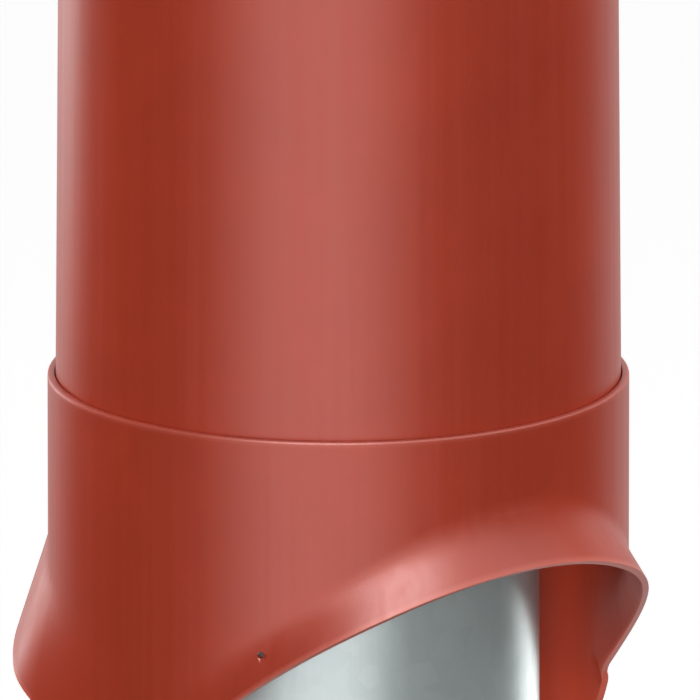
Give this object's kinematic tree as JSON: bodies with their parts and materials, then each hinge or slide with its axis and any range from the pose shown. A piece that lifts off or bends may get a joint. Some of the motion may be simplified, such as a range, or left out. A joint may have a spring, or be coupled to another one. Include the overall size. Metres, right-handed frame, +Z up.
{
  "type": "roof vent pipe",
  "caption": "Roof vent pipe: a tapered plastic sleeve around a round steel duct, with a flared, arched collar at its foot that straddles a roof lead-through.",
  "frame": {"origin": "on the pipe's axis, at the lower end of the steel duct", "axes": "+Z up along the pipe, -Y towards the collar's high arch, which faces up the roof"},
  "size_m": [0.2428, 0.2571, 0.78],
  "materials": {
    "red_plastic": "satin moulded polypropylene",
    "galvanised_steel": "galvanised sheet"
  },
  "bodies": {
    "root": {"outer_sleeve": "red_plastic", "flared_collar": "red_plastic", "inner_duct": "galvanised_steel"}
  },
  "joints": []
}
